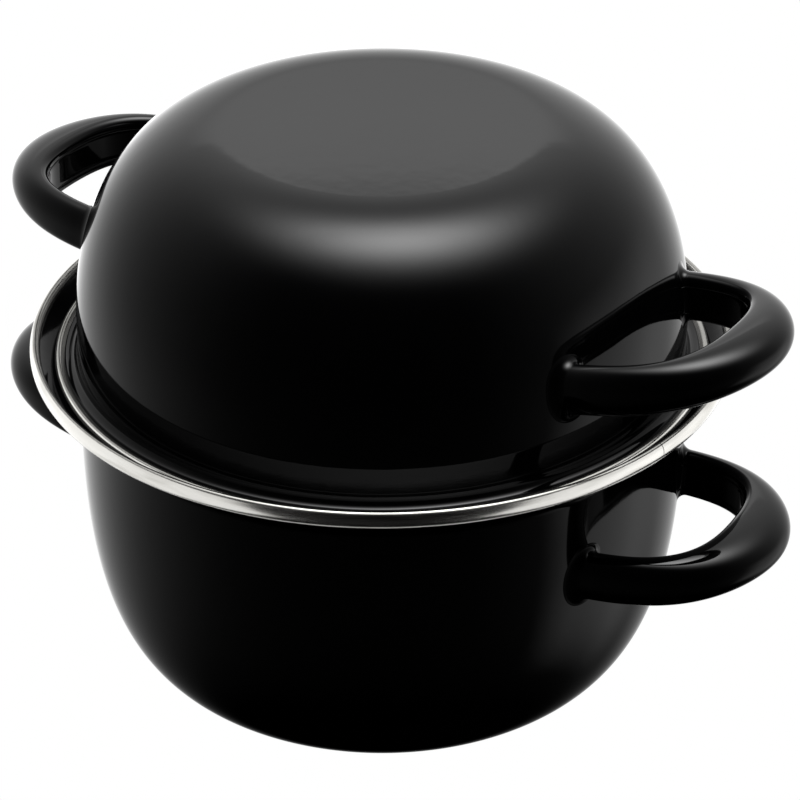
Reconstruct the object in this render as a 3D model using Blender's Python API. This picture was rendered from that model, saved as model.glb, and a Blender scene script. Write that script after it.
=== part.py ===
"""Mussel pot: an enamelled steel pot and a deep lid that doubles as a bowl, both with steel edges.

Metres, +Z up. The origin is the centre of the pot's underside, and the pot's handles lie along X.
"""
import math

import bmesh
import bpy
from mathutils import Vector

# Sheet and gaps
SHEET = 0.0013                      # enamelled steel sheet of the pot and the lid
SEAT_GAP = 0.0003                   # between pieces that rest on or are joined to each other

# Pot body, outside sizes
POT_RADIUS = 0.0948                 # straight upper wall
POT_FOOT_RADIUS = 0.0589            # flat underside
RIM_HEIGHT = 0.1100                 # middle of the rim band above the underside
POT_WALL_HEIGHT = 0.0237            # straight wall and flare, below the middle of the band
POT_CURVE = 2.7                     # squareness of the lower body, 2 is an ellipse
RIM_OVERHANG = 0.0142               # outside of the band beyond the wall
FLARE_ANGLE = math.radians(42.0)    # slope of the flared rim that carries the lid
FLARE_BEND = 0.0060                 # bend between the straight wall and the flare, outside

# Steel band rolled over the pot's edge
BAND_WIDTH = 0.0032
BAND_HEIGHT = 0.0053
BAND_SHEET = 0.0005

# Lid body, outside sizes
LID_WALL_INSET = 0.0006             # lid's straight wall inside the line of the pot's wall
LID_TOP_RADIUS = 0.0468             # flat top, the foot when the lid is a bowl
LID_HEIGHT = 0.0708                 # top face above the middle of the band
LID_WALL_HEIGHT = 0.0074            # end of the straight wall above the middle of the band
LID_CURVE = 2.25                    # squareness of the dome
LID_EDGE_SPACE = 0.0043             # between the two steel bands
LID_GUTTER_BEND = 0.0030            # bend between the wall and the turned-up edge, outside
LID_TURN = math.radians(-3.9)       # the lid is set down a little turned

# Steel band folded over the lid's turned-up edge
LID_BAND_SHEET = 0.0004
LID_BAND_LEG = 0.0010               # straight leg on each face of the lid's sheet
LID_BAND_REACH = SHEET / 2 + SEAT_GAP + LID_BAND_SHEET      # half its thickness

# Handles: an outer pressing with a flat strip that closes it on the finger side
HANDLE_SHEET = 0.0012
FINGER_SPACE = 0.0250               # from the body's wall to the grip
HANDLE_HALF_SPAN = 0.0308           # half the finger opening where the arms meet the body
ARM_ANGLE = math.radians(2.0)       # by which each arm closes toward the grip
ARM_PULL = 0.0268                   # reach of the arm's straight run before it turns
GRIP_PULL = 0.0188                  # half width of the grip's flat run
ARM_DEPTH = 0.0075                  # thickness of an arm, in plan
GRIP_DEPTH = 0.0172                 # thickness of the grip, in plan
ARM_HEIGHT = 0.0158
GRIP_HEIGHT = 0.0168
GRIP_SWELL = 1.4                    # above 1, the arm swells into the grip later
EDGE_ROUND = 0.0026                 # rounding of the finger side's edges
CROWN = 0.9                         # fullness of the outer side, 1 is an ellipse
LIP = 0.0008                        # flat lip of the pressing beside the strip
ARM_ROOT = 0.0076                   # start of the arm's curve, inside the wall
ARM_TAIL = 0.0120                   # straight length behind the start, trimmed to the wall
WELD_SPREAD = 0.0012                # growth of an arm where it is welded to the body
WELD_LENGTH = 0.0040
POT_HANDLE_DROP = 0.0410            # middle of an arm at the wall, below the middle of the band
LID_HANDLE_LIFT = 0.0257            # middle of an arm at the wall, above the middle of the band
POT_HANDLE_TILT = {"right": math.radians(5.3), "left": math.radians(5.3)}     # slope of a handle
LID_HANDLE_TILT = {"right": math.radians(11.9), "left": math.radians(2.7)}
SIDES = {"right": 0.0, "left": math.pi}

# Fineness
SEGMENTS = 48                       # sides of every turned piece
CURVE_STEPS = 10                    # along each body's curve
BEND_STEPS = 4                      # along a bend or a rolled edge
GUTTER_STEPS = 6
BAND_OUTER_STEPS = 12
BAND_INNER_STEPS = 8
STATIONS = 8                        # along half a handle
CROWN_STEPS = 8
EDGE_STEPS = 2
SHARP = math.radians(40.0)

# Sizes that follow
BAND_RADIUS = POT_RADIUS + RIM_OVERHANG
BAND_CENTRE = (BAND_RADIUS - BAND_WIDTH / 2, RIM_HEIGHT)
LID_RADIUS = POT_RADIUS - LID_WALL_INSET
LID_EDGE_RADIUS = BAND_RADIUS - BAND_WIDTH - LID_EDGE_SPACE
LID_TOP = RIM_HEIGHT + LID_HEIGHT

Profile = list[tuple[float, float]]


def clear_scene() -> None:
    for item in list(bpy.data.objects):
        bpy.data.objects.remove(item, do_unlink=True)


def material(name: str, colour: tuple[float, float, float], roughness: float, metallic: float) -> bpy.types.Material:
    made = bpy.data.materials.new(name)
    made.use_nodes = True
    shader = made.node_tree.nodes["Principled BSDF"]
    shader.inputs["Base Color"].default_value = (*colour, 1.0)
    shader.inputs["Roughness"].default_value = roughness
    shader.inputs["Metallic"].default_value = metallic
    made.diffuse_color = (*colour, 1.0)
    return made


def black_enamel() -> bpy.types.Material:
    return material("black_enamel", (0.008, 0.008, 0.008), 0.06, 0.0)


def polished_steel() -> bpy.types.Material:
    return material("polished_steel", (0.62, 0.62, 0.60), 0.20, 1.0)


def bowl_curve(foot: float, side: float, flat: float, wall: float, power: float) -> Profile:
    """Superellipse quarter from the flat face's edge (foot, flat) to the straight wall (side, wall)."""
    points = []
    for step in range(CURVE_STEPS + 1):
        angle = math.pi / 2 * (1 - step / CURVE_STEPS)
        radius = foot + (side - foot) * math.cos(angle) ** (2 / power)
        points.append((radius, wall + (flat - wall) * math.sin(angle) ** (2 / power)))
    return points


def arc(centre: tuple[float, float], radius: float, start: float, end: float, steps: int) -> Profile:
    """Points of an arc in the profile plane, both ends included."""
    turns = [start + (end - start) * step / steps for step in range(steps + 1)]
    return [(centre[0] + radius * math.cos(turn), centre[1] + radius * math.sin(turn)) for turn in turns]


def offset(points: Profile, distance: float) -> Profile:
    """Moves an open outline sideways, to the left of its direction."""
    moved = []
    for index, point in enumerate(points):
        before = points[max(index - 1, 0)]
        after = points[min(index + 1, len(points) - 1)]
        first = Vector((point[0] - before[0], point[1] - before[1]))
        second = Vector((after[0] - point[0], after[1] - point[1]))
        first = first.normalized() if first.length > 0 else second.normalized()
        second = second.normalized() if second.length > 0 else first
        middle = (first + second).normalized()
        reach = distance / middle.dot(first)
        moved.append((point[0] - middle.y * reach, point[1] + middle.x * reach))
    return moved


def turned(name: str, points: Profile, closed: bool, finish: bpy.types.Material | None) -> bpy.types.Object:
    """Turns a profile about Z. An open profile starts and ends on the axis, a closed one stays off it."""
    work = bmesh.new()
    verts = [work.verts.new((radius, 0.0, height)) for radius, height in points]
    pairs = list(zip(verts, verts[1:]))
    if closed:
        pairs.append((verts[-1], verts[0]))
    edges = [work.edges.new(pair) for pair in pairs]
    bmesh.ops.spin(work, geom=verts + edges, cent=(0, 0, 0), axis=(0, 0, 1), angle=2 * math.pi,
                   steps=SEGMENTS, use_merge=True)
    bmesh.ops.remove_doubles(work, verts=work.verts, dist=1e-6)
    bmesh.ops.recalc_face_normals(work, faces=work.faces)
    return finished(name, work, finish)


def finished(name: str, work: bmesh.types.BMesh, finish: bpy.types.Material | None) -> bpy.types.Object:
    mesh = bpy.data.meshes.new(name)
    work.to_mesh(mesh)
    work.free()
    mesh.shade_smooth()
    mesh.set_sharp_from_angle(angle=SHARP)
    if finish:
        mesh.materials.append(finish)
    made = bpy.data.objects.new(name, mesh)
    bpy.context.scene.collection.objects.link(made)
    return made


def pot_wall_profile() -> Profile:
    """Outside of the pot below the flare, from the underside's edge to the top of the straight wall."""
    return bowl_curve(POT_FOOT_RADIUS, POT_RADIUS, 0.0, RIM_HEIGHT - POT_WALL_HEIGHT, POT_CURVE)


def flare_outside(radius: float) -> float:
    """Height of the flare's outer face at a radius. Its sheet runs into the middle of the band."""
    edge, height = BAND_CENTRE
    below = SHEET / 2 / math.cos(FLARE_ANGLE)
    return height - below + (radius - edge) * math.tan(FLARE_ANGLE)


def pot_profile() -> Profile:
    """Whole section of the pot, from the underside's centre round the edge to the inside's centre."""
    turn = math.pi / 2 - FLARE_ANGLE
    corner = flare_outside(POT_RADIUS)
    centre = (POT_RADIUS + FLARE_BEND, corner - FLARE_BEND * math.tan(turn / 2))
    bend = arc(centre, FLARE_BEND, math.pi, math.pi - turn, BEND_STEPS)
    edge, height = BAND_CENTRE
    lower_end = (edge + SHEET / 2 * math.sin(FLARE_ANGLE), height - SHEET / 2 * math.cos(FLARE_ANGLE))
    outside = pot_wall_profile() + bend + [lower_end]
    inside = offset(outside, SHEET)
    tip = arc((edge, height), SHEET / 2, FLARE_ANGLE - math.pi / 2, FLARE_ANGLE + math.pi / 2, BEND_STEPS)
    return [(0.0, 0.0)] + outside[:-1] + tip + inside[-2::-1] + [(0.0, SHEET)]


def pot_body(finish: bpy.types.Material) -> bpy.types.Object:
    return turned("pot_body", pot_profile(), False, finish)


def rim_band(finish: bpy.types.Material) -> bpy.types.Object:
    """C-section ring, open where the pot's sheet runs into it."""
    half_mouth = SHEET / 2 + SEAT_GAP
    points: Profile = []
    for width, height, steps, direction in (
            (BAND_WIDTH / 2, BAND_HEIGHT / 2, BAND_OUTER_STEPS, 1),
            (BAND_WIDTH / 2 - BAND_SHEET, BAND_HEIGHT / 2 - BAND_SHEET, BAND_INNER_STEPS, -1)):
        reach = math.hypot(width * math.cos(FLARE_ANGLE), height * math.sin(FLARE_ANGLE))
        mouth = math.asin(half_mouth / reach)
        entry = math.pi + math.atan2(width * math.sin(FLARE_ANGLE), height * math.cos(FLARE_ANGLE))
        first = entry + mouth
        last = entry + 2 * math.pi - mouth
        turns = [first + (last - first) * step / steps for step in range(steps + 1)][::direction]
        points += [(BAND_CENTRE[0] + width * math.cos(turn), BAND_CENTRE[1] + height * math.sin(turn))
                   for turn in turns]
    return turned("rim_band", points, True, finish)


def lid_gutter() -> tuple[float, float]:
    """Centre of the bend at the lid's foot, placed so that the lid's band rests in the pot's flare."""
    radius = LID_RADIUS + LID_GUTTER_BEND
    distance = LID_GUTTER_BEND + SHEET / 2 + LID_BAND_REACH + SEAT_GAP
    flare_inside = flare_outside(radius) + SHEET / math.cos(FLARE_ANGLE)
    return (radius, flare_inside + distance / math.cos(FLARE_ANGLE))


def lid_wall_profile() -> Profile:
    """Outside of the lid from the flat top's edge down to the end of the dome."""
    return bowl_curve(LID_TOP_RADIUS, LID_RADIUS, LID_TOP, RIM_HEIGHT + LID_WALL_HEIGHT, LID_CURVE)


def lid_edge() -> tuple[float, float]:
    """Middle of the lid's sheet at its edge, which is also the middle of the band's fold."""
    centre = lid_gutter()
    middle = LID_GUTTER_BEND + SHEET / 2
    start = (centre[0] + middle * math.sin(FLARE_ANGLE), centre[1] - middle * math.cos(FLARE_ANGLE))
    run = LID_EDGE_RADIUS - LID_BAND_REACH - start[0]
    return (start[0] + run, start[1] + run * math.tan(FLARE_ANGLE))


def lid_profile() -> Profile:
    gutter = arc(lid_gutter(), LID_GUTTER_BEND, math.pi, 3 * math.pi / 2 + FLARE_ANGLE, GUTTER_STEPS)
    edge = lid_edge()
    upper_end = (edge[0] - SHEET / 2 * math.sin(FLARE_ANGLE), edge[1] + SHEET / 2 * math.cos(FLARE_ANGLE))
    outside = lid_wall_profile() + gutter + [upper_end]
    inside = offset(outside, -SHEET)
    tip = arc(edge, SHEET / 2, FLARE_ANGLE + math.pi / 2, FLARE_ANGLE - math.pi / 2, BEND_STEPS)
    return [(0.0, LID_TOP)] + outside[:-1] + tip + inside[-2::-1] + [(0.0, LID_TOP - SHEET)]


def lid_body(finish: bpy.types.Material) -> bpy.types.Object:
    return turned("lid_body", lid_profile(), False, finish)


def lid_band(finish: bpy.types.Material) -> bpy.types.Object:
    """U-section ring on the lid's edge: a half-round fold with a straight leg on each face of the sheet."""
    edge = lid_edge()
    run, rise = math.cos(FLARE_ANGLE), math.sin(FLARE_ANGLE)
    points: Profile = []
    for reach, steps, direction in ((LID_BAND_REACH, BAND_INNER_STEPS, 1),
                                    (LID_BAND_REACH - LID_BAND_SHEET, BAND_INNER_STEPS, -1)):
        fold = arc((0.0, 0.0), reach, -math.pi / 2, math.pi / 2, steps)
        side = [(-LID_BAND_LEG, -reach)] + fold + [(-LID_BAND_LEG, reach)]
        points += side[::direction]
    placed = [(edge[0] + x * run - y * rise, edge[1] + x * rise + y * run) for x, y in points]
    return turned("lid_band", placed, True, finish)


def keep_out(name: str, outside: Profile, outward: float, end: float) -> bpy.types.Object:
    """Solid that trims the handles to a body's outer face, with the seat gap between them.

    outward is 1 or -1, the side of the outline that faces away from the body, and end is the height
    to which the solid runs on past the outline.
    """
    grown = offset(outside, outward * SEAT_GAP)
    last = (grown[-1][0], end)
    made = turned(name, [(0.0, grown[0][1])] + grown + [last, (0.0, end)], False, None)
    made.hide_render = True
    made.display_type = "WIRE"
    return made


def handle_stations(radius: float) -> list[tuple[Vector, Vector, float]]:
    """Points of the finger side in plan, with their outward directions and the share of grip, 0 to 1."""
    direction = Vector((math.cos(ARM_ANGLE), -math.sin(ARM_ANGLE)))
    start = Vector((radius - ARM_ROOT, HANDLE_HALF_SPAN))
    arm = start + ARM_PULL * direction
    grip = Vector((radius + FINGER_SPACE, GRIP_PULL))
    end = Vector((grip.x, 0.0))
    half = [(start - ARM_TAIL * direction, Vector((-direction.y, direction.x)), 0.0)]
    for step in range(STATIONS + 1):
        t = step / STATIONS
        u = 1 - t
        point = u ** 3 * start + 3 * u * u * t * arm + 3 * u * t * t * grip + t ** 3 * end
        slope = 3 * u * u * (arm - start) + 6 * u * t * (grip - arm) + 3 * t * t * (end - grip)
        slope.normalize()
        swell = t ** GRIP_SWELL
        half.append((point, Vector((-slope.y, slope.x)), swell * swell * (3 - 2 * swell)))
    mirrored = [(Vector((p.x, -p.y)), Vector((n.x, -n.y)), share) for p, n, share in half[-2::-1]]
    return half + mirrored


def shell_section(depth: float, half: float) -> Profile:
    """C-section of the outer pressing: outside first, then back along the inside."""
    crown = []
    for step in range(1, CROWN_STEPS):
        angle = math.pi / 2 - math.pi * step / CROWN_STEPS
        crown.append((EDGE_ROUND + (depth - EDGE_ROUND) * math.cos(angle) ** CROWN, half * math.sin(angle)))
    upper = arc((EDGE_ROUND, half - EDGE_ROUND), EDGE_ROUND, math.pi, math.pi / 2, EDGE_STEPS)
    lower = [(n, -z) for n, z in upper[::-1]]
    lip_end = half - EDGE_ROUND - LIP
    outside = [(0.0, lip_end)] + upper + crown + lower + [(0.0, -lip_end)]
    inside = offset(outside, -HANDLE_SHEET)
    return outside + inside[::-1]


def strip_section(_depth: float, half: float) -> Profile:
    """Flat strip that closes the pressing between its lips."""
    top = half - EDGE_ROUND - LIP - SEAT_GAP
    return [(0.0, top), (HANDLE_SHEET, top), (HANDLE_SHEET, -top), (0.0, -top)]


def swept(name: str, section, radius: float, height: float, tilt: float,
          finish: bpy.types.Material) -> bpy.types.Object:
    """Sweeps a section round the handle's path. Its plane follows the path and stays upright."""
    rise = math.tan(tilt)
    work = bmesh.new()
    rings = []
    for point, outward, share in handle_stations(radius):
        gap = max(point.length - radius, 0.0)
        spread = WELD_SPREAD * math.exp(-(gap / WELD_LENGTH) ** 2)
        depth = ARM_DEPTH + (GRIP_DEPTH - ARM_DEPTH) * share + spread
        half = (ARM_HEIGHT + (GRIP_HEIGHT - ARM_HEIGHT) * share) / 2 + spread
        ring = []
        for n, z in section(depth, half):
            place = point + outward * n
            ring.append(work.verts.new((place.x, place.y, height + rise * (place.x - radius) + z)))
        rings.append(ring)
    for ring, following in zip(rings, rings[1:]):
        for index in range(len(ring)):
            after = (index + 1) % len(ring)
            work.faces.new((ring[index], ring[after], following[after], following[index]))
    work.faces.new(rings[0])
    work.faces.new(rings[-1][::-1])
    bmesh.ops.recalc_face_normals(work, faces=work.faces)
    return finished(name, work, finish)


def trim(item: bpy.types.Object, cutter: bpy.types.Object) -> None:
    cut = item.modifiers.new("trim_to_body", "BOOLEAN")
    cut.operation = "DIFFERENCE"
    cut.solver = "EXACT"
    cut.object = cutter


def handle_pair(prefix: str, cutter: bpy.types.Object, parent: bpy.types.Object, radius: float,
                height: float, tilts: dict[str, float], finish: bpy.types.Material) -> None:
    """Right and left handle of a body, each an outer pressing and its strip."""
    for side, turn in SIDES.items():
        for piece, section in (("shell", shell_section), ("strip", strip_section)):
            made = swept(f"{prefix}_handle_{side}_{piece}", section, radius, height, tilts[side], finish)
            made.rotation_euler = (0.0, 0.0, turn)
            made.parent = parent
            trim(made, cutter)


def main() -> None:
    clear_scene()
    enamel = black_enamel()
    steel = polished_steel()
    pot = pot_body(enamel)
    band = rim_band(steel)
    band.parent = pot
    lid = lid_body(enamel)
    lid.rotation_euler = (0.0, 0.0, LID_TURN)
    edge_band = lid_band(steel)
    edge_band.parent = lid
    pot_cutter = keep_out("pot_keep_out", pot_wall_profile(), -1.0, flare_outside(POT_RADIUS))
    lid_cutter = keep_out("lid_keep_out", lid_wall_profile(), 1.0, lid_gutter()[1])
    handle_pair("pot", pot_cutter, pot, POT_RADIUS, RIM_HEIGHT - POT_HANDLE_DROP, POT_HANDLE_TILT, enamel)
    handle_pair("lid", lid_cutter, lid, LID_RADIUS, RIM_HEIGHT + LID_HANDLE_LIFT, LID_HANDLE_TILT, enamel)


main()
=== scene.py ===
"""Closed mussel pot: enamelled pot and deep lid with steel edges, and four welded loop handles.

Metres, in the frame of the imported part: the origin is the centre of the pot's underside, the pot's handles
lie along X and +Z is up. Every piece stands for the node of the same name, with a finer shape and a finish.
"""
import logging
import math
from dataclasses import dataclass, field
from enum import Enum
from typing import Any

import bmesh
import bpy
import numpy as np
from mathutils import Matrix, Vector


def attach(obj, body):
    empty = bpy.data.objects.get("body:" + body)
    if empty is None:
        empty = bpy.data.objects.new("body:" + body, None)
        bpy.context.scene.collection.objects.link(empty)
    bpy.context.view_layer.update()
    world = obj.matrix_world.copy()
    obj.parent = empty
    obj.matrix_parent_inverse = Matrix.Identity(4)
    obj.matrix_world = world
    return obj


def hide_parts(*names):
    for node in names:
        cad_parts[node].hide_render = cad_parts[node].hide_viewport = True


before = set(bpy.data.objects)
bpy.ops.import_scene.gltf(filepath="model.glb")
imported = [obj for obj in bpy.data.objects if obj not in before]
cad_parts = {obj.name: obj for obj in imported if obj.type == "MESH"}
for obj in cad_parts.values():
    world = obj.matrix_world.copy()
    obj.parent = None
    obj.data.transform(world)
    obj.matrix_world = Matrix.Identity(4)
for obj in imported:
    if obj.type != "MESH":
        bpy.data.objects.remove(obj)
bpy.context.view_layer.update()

LOG = logging.getLogger("mussel_pot")
MERGE_DISTANCE = 1e-7
Point = tuple[float, float]
Profile = list[Point]


class Body(Enum):
    """Moving bodies of the part."""

    POT = "pot"
    LID = "lid"


class Slot(Enum):
    """Material slots of the part's record."""

    ENAMEL = "black_enamel"
    STEEL = "steel_band"


class Side(Enum):
    """Sides of a body that carry a handle, with the turn about Z that takes the right one there."""

    RIGHT = ("right", 0.0)
    LEFT = ("left", math.pi)

    @property
    def label(self) -> str:
        """Word for the side in the names of nodes."""
        return self.value[0]

    @property
    def turn(self) -> float:
        """Angle about Z, in radians."""
        return self.value[1]


# Outlines in the plane of a section

def arc(centre: Point, radius: float, start: float, end: float, steps: int) -> Profile:
    """Points of an arc, both ends included.

    Args:
        centre: Centre of the arc.
        radius: Radius of the arc.
        start: First angle, in radians.
        end: Last angle, in radians.
        steps: Number of chords.

    Returns:
        The points in order.
    """
    turns = [start + (end - start) * step / steps for step in range(steps + 1)]
    return [(centre[0] + radius * math.cos(turn), centre[1] + radius * math.sin(turn)) for turn in turns]


def bowl_curve(foot: float, side: float, flat: float, wall: float, power: float, steps: int) -> Profile:
    """Superellipse quarter between a flat face and a straight wall.

    Args:
        foot: Radius of the flat face's edge.
        side: Radius of the straight wall.
        flat: Height of the flat face.
        wall: Height at which the straight wall starts.
        power: Squareness, 2 for an ellipse.
        steps: Number of chords.

    Returns:
        The points from the flat face's edge to the wall.
    """
    points = []
    for step in range(steps + 1):
        angle = math.pi / 2 * (1 - step / steps)
        radius = foot + (side - foot) * math.cos(angle) ** (2 / power)
        points.append((radius, wall + (flat - wall) * math.sin(angle) ** (2 / power)))
    return points


def offset(points: Profile, distance: float) -> Profile:
    """Moves an open outline sideways.

    Args:
        points: The outline.
        distance: How far it moves to the left of its direction.

    Returns:
        The moved outline, with as many points.
    """
    moved = []
    for index, point in enumerate(points):
        before = points[max(index - 1, 0)]
        after = points[min(index + 1, len(points) - 1)]
        first = Vector((point[0] - before[0], point[1] - before[1]))
        second = Vector((after[0] - point[0], after[1] - point[1]))
        first = first.normalized() if first.length > 0 else second.normalized()
        second = second.normalized() if second.length > 0 else first
        middle = (first + second).normalized()
        reach = distance / middle.dot(first)
        moved.append((point[0] - middle.y * reach, point[1] + middle.x * reach))
    return moved


# Meshes and pieces

@dataclass(frozen=True)
class Piece:
    """One visible piece, ready to ride on its body.

    Args:
        name: Name of the piece.
        node: Node of the part that it stands for.
        body: Body that it moves with.
        slot: Slot of the record that its finish belongs to; not used.
    """

    name: str
    node: str
    body: Body
    slot: Slot

    def place(self, item: bpy.types.Object) -> None:
        """Ties an object to its body and hides the node that it stands for.

        Args:
            item: The finished object, at the origin and unturned.
        """
        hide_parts(self.node)
        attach(item, self.body.value)
        item.data.calc_loop_triangles()
        LOG.info("%s: %d triangles, rides on %s", self.name, len(item.data.loop_triangles), self.body.value)


def mesh_object(name: str, work: bmesh.types.BMesh, finish: bpy.types.Material,
                sharp: float = math.radians(45.0)) -> bpy.types.Object:
    """Turns a closed bmesh into a smooth object.

    Args:
        name: Name of the object.
        work: The mesh, which is freed.
        finish: Its material.
        sharp: Edges bent more than this stay sharp, in radians.

    Returns:
        The object, in the scene.
    """
    bmesh.ops.remove_doubles(work, verts=work.verts, dist=MERGE_DISTANCE)
    bmesh.ops.recalc_face_normals(work, faces=work.faces)
    mesh = bpy.data.meshes.new(name)
    work.to_mesh(mesh)
    work.free()
    mesh.shade_smooth()
    mesh.set_sharp_from_angle(angle=sharp)
    mesh.materials.append(finish)
    made = bpy.data.objects.new(name, mesh)
    bpy.context.scene.collection.objects.link(made)
    return made


def turned(name: str, points: Profile, turn: float, segments: int,
           finish: bpy.types.Material) -> bpy.types.Object:
    """Turns a section about Z.

    Args:
        name: Name of the object.
        points: Section from the axis round the edge and back to the axis.
        turn: Angle of the first meridian, in radians.
        segments: Number of sides.
        finish: Its material.

    Returns:
        The object, in the scene.
    """
    work = bmesh.new()
    verts = [work.verts.new((radius * math.cos(turn), radius * math.sin(turn), height))
             for radius, height in points]
    edges = [work.edges.new(pair) for pair in zip(verts, verts[1:])]
    bmesh.ops.spin(work, geom=verts + edges, cent=(0, 0, 0), axis=(0, 0, 1), angle=2 * math.pi,
                   steps=segments, use_merge=True)
    return mesh_object(name, work, finish)


# Sizes shared where the pot, the band and the lid meet

@dataclass(frozen=True)
class RimFit:
    """Flared rim of the pot with the steel band rolled over its edge.

    Args:
        sheet: Enamelled sheet of the pot and the lid.
        gap: Space between pieces that are joined or rest on each other.
        height: Middle of the band above the underside.
        radius: Outside of the band.
        band_width: Width of the band's section.
        band_height: Height of the band's section.
        band_sheet: Sheet of the band.
        slope: Slope of the flare, in radians.
        trim_sheet: Sheet of the lid's band.
        trim_leg: Straight leg of the lid's band on each face of the lid's sheet.
        trim_space: Between the two bands.
    """

    sheet: float = 0.0013
    gap: float = 0.0003
    height: float = 0.1100
    radius: float = 0.1090
    band_width: float = 0.0032
    band_height: float = 0.0053
    band_sheet: float = 0.0005
    slope: float = math.radians(42.0)
    trim_sheet: float = 0.0004
    trim_leg: float = 0.0010
    trim_space: float = 0.0043

    @property
    def trim_reach(self) -> float:
        """Half the thickness of the lid's band."""
        return self.sheet / 2 + self.gap + self.trim_sheet

    @property
    def edge(self) -> Point:
        """Middle of the band's section."""
        return (self.radius - self.band_width / 2, self.height)

    def flare_outside(self, radius: float) -> float:
        """Height of the flare's outer face.

        Args:
            radius: Distance from the axis.

        Returns:
            Height above the underside.
        """
        below = self.sheet / 2 / math.cos(self.slope)
        return self.height - below + (radius - self.edge[0]) * math.tan(self.slope)


# Finishes

class Sketch:
    """Short way to write a node tree."""

    def __init__(self, tree: bpy.types.NodeTree) -> None:
        """Starts an empty tree.

        Args:
            tree: The tree, whose nodes are removed.
        """
        self.tree = tree
        tree.nodes.clear()

    def add(self, kind: str, **settings: Any) -> bpy.types.Node:
        """Adds a node.

        Args:
            kind: Type of the node.
            settings: Its properties.

        Returns:
            The node.
        """
        node = self.tree.nodes.new(kind)
        for key, value in settings.items():
            setattr(node, key, value)
        return node

    def feed(self, socket: bpy.types.NodeSocket, source: Any) -> None:
        """Gives a socket a value or a link.

        Args:
            socket: The input.
            source: A number, a tuple or an output.
        """
        if isinstance(source, bpy.types.NodeSocket):
            self.tree.links.new(source, socket)
        else:
            socket.default_value = source

    def wired(self, kind: str, sources: dict[str, Any], **settings: Any) -> bpy.types.Node:
        """Adds a node and feeds its inputs.

        Args:
            kind: Type of the node.
            sources: Values or outputs, by the input's name.
            settings: Its properties.

        Returns:
            The node.
        """
        node = self.add(kind, **settings)
        for name, source in sources.items():
            self.feed(node.inputs[name], source)
        return node

    def calc(self, operation: str, *sources: Any, clamp: bool = False) -> bpy.types.NodeSocket:
        """Adds a Math node.

        Args:
            operation: Its operation.
            sources: Numbers or outputs for its inputs.
            clamp: Keeps the result between 0 and 1.

        Returns:
            Its output.
        """
        node = self.add("ShaderNodeMath", operation=operation, use_clamp=clamp)
        for socket, source in zip(node.inputs, sources):
            self.feed(socket, source)
        return node.outputs[0]

    def vector(self, operation: str, *sources: Any) -> bpy.types.NodeSocket:
        """Adds a Vector Math node.

        Args:
            operation: Its operation.
            sources: Numbers, tuples or outputs for its inputs.

        Returns:
            Its vector output.
        """
        node = self.add("ShaderNodeVectorMath", operation=operation)
        for name, source in zip(("Vector", "Vector_001", "Vector_002"), sources):
            self.feed(next(s for s in node.inputs if s.identifier == name), source)
        return node.outputs["Vector"]

    def fall(self, source: bpy.types.NodeSocket, full: float, none: float,
             interpolation: str = "SMOOTHSTEP") -> bpy.types.NodeSocket:
        """Adds a soft step.

        Args:
            source: The value.
            full: Where the step gives 1.
            none: Where the step gives 0.
            interpolation: Its form.

        Returns:
            The output, between 0 and 1.
        """
        ends = {"Value": source, "From Min": full, "From Max": none, "To Min": 1.0, "To Max": 0.0}
        return self.wired("ShaderNodeMapRange", ends, interpolation_type=interpolation).outputs["Result"]

    def noise(self, place: Any, scale: Any, detail: float, roughness: float = 0.5,
              distortion: float = 0.0) -> bpy.types.NodeSocket:
        """Adds a Noise Texture.

        Args:
            place: The coordinates.
            scale: Its scale, as a number or an output.
            detail: Its detail.
            roughness: Its roughness.
            distortion: Its distortion.

        Returns:
            Its value output.
        """
        form = {"Vector": place, "Scale": scale, "Detail": detail, "Roughness": roughness,
                "Distortion": distortion}
        return self.wired("ShaderNodeTexNoise", form).outputs["Fac"]


class EffectGroup:
    """Shader node group that several finishes use, built once."""

    name: str = ""
    inputs: dict[str, float] = {}
    outputs: tuple[str, ...] = ()

    def __init__(self) -> None:
        """Builds the group with its named sockets."""
        self.tree = bpy.data.node_groups.new(self.name, "ShaderNodeTree")
        for label, value in self.inputs.items():
            socket = self.tree.interface.new_socket(label, in_out="INPUT", socket_type="NodeSocketFloat")
            socket.default_value = value
        for label in self.outputs:
            self.tree.interface.new_socket(label, in_out="OUTPUT", socket_type="NodeSocketFloat")
        self.draw(Sketch(self.tree))

    def draw(self, sketch: Sketch) -> None:
        """Fills the group.

        Args:
            sketch: Its node tree.
        """
        raise NotImplementedError

    def use(self, sketch: Sketch, **values: float) -> bpy.types.Node:
        """Places the group in a material.

        Args:
            sketch: The material's tree.
            values: Values of its inputs, by name, with underscores for spaces.

        Returns:
            The group node.
        """
        node = sketch.add("ShaderNodeGroup", node_tree=self.tree)
        for key, value in values.items():
            node.inputs[key.replace("_", " ").capitalize()].default_value = value
        return node


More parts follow.
